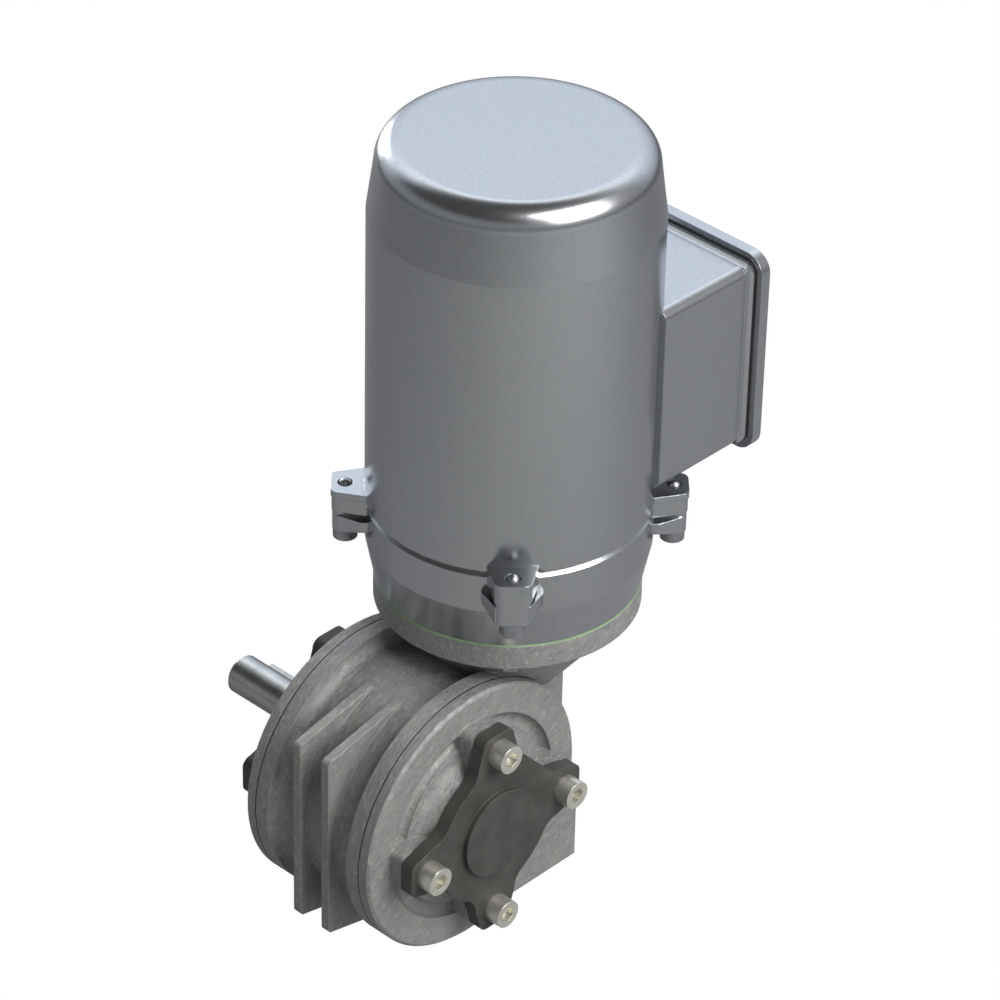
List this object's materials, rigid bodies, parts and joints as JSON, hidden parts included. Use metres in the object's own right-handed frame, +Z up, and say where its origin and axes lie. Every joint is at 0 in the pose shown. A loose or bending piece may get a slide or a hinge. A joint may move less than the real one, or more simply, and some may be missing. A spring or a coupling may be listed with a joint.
{
  "type": "worm gear motor",
  "caption": "Worm gear motor: ribbed gear case with bolted bearing caps, keyed output shaft, round upright motor with clamp ears and a side terminal box",
  "frame": {"origin": "Centre of the output axis on the rear mounting face of the gear case", "axes": "+Y is the output axis, out of the mounting face along the free shaft end; +Z is up along the motor axis; +X points from the gear case towards the terminal box"},
  "size_m": [0.1689, 0.131, 0.2782],
  "materials": {
    "cast_alloy": "raw sand-cast aluminium, fine speckle",
    "motor_alloy": "satin die-cast aluminium",
    "dark_iron": "blackened iron, satin",
    "steel": "ground steel",
    "plated_steel": "zinc-nickel plated steel",
    "black_steel": "black oxide steel",
    "bearing_steel": "polished bearing steel",
    "bronze": "cast tin bronze",
    "brass": "turned brass",
    "black_rubber": "black nitrile rubber",
    "gasket_paper": "graphited gasket paper",
    "green_gasket": "pale green gasket sheet",
    "electric_steel": "stacked electrical steel",
    "copper": "lacquered copper wire",
    "cage_alloy": "die-cast aluminium",
    "thermoset": "dark moulded thermoset"
  },
  "bodies": {
    "case": {"gear_case": "cast_alloy", "front_cover": "cast_alloy", "rear_cover": "cast_alloy", "front_cover_gasket": "gasket_paper", "rear_cover_gasket": "gasket_paper", "front_cap": "dark_iron", "rear_cap": "dark_iron", "front_cap_screws": "plated_steel", "rear_cap_screws": "black_steel", "worm_tail_plug": "steel", "output_seal": "black_rubber", "front_bearing_outer": "bearing_steel", "front_bearing_balls": "bearing_steel", "rear_bearing_outer": "bearing_steel", "rear_bearing_balls": "bearing_steel", "tail_bearing_outer": "bearing_steel", "tail_bearing_balls": "bearing_steel", "motor_seal": "black_rubber", "flange_gasket": "green_gasket", "flange_screws": "black_steel", "end_shield": "motor_alloy", "clamp_screws": "plated_steel", "lower_bearing_outer": "bearing_steel", "lower_bearing_balls": "bearing_steel", "upper_bearing_outer": "bearing_steel", "upper_bearing_balls": "bearing_steel", "preload_washer": "steel", "stator_core": "electric_steel", "stator_winding": "copper", "cover_seal": "black_rubber", "motor_cover": "motor_alloy", "box_gasket": "black_rubber", "box_lid": "motor_alloy", "lid_screws": "plated_steel", "terminal_board": "thermoset", "board_screws": "plated_steel", "terminal_studs": "brass"},
    "rotor": {"worm_shaft": "steel", "rotor_core": "electric_steel", "rotor_cage": "cage_alloy", "tail_bearing_inner": "bearing_steel", "lower_bearing_inner": "bearing_steel", "upper_bearing_inner": "bearing_steel"},
    "output": {"output_shaft": "steel", "output_key": "steel", "worm_wheel": "bronze", "wheel_key": "steel", "spacer_sleeve": "steel", "front_bearing_inner": "bearing_steel", "rear_bearing_inner": "bearing_steel"}
  },
  "joints": [
    {"name": "rotor_spin", "type": "hinge", "parent": "case", "child": "rotor", "pos_m": [0.045, -0.029, 0], "axis": [0, 0, 1], "continuous": true},
    {"name": "output_spin", "type": "hinge", "parent": "case", "child": "output", "pos_m": [0, 0, 0], "axis": [0, 1, 0], "continuous": true}
  ],
  "couplings": [
    {"joint": "output_spin", "follows": "rotor_spin", "ratio": 0.027778}
  ]
}
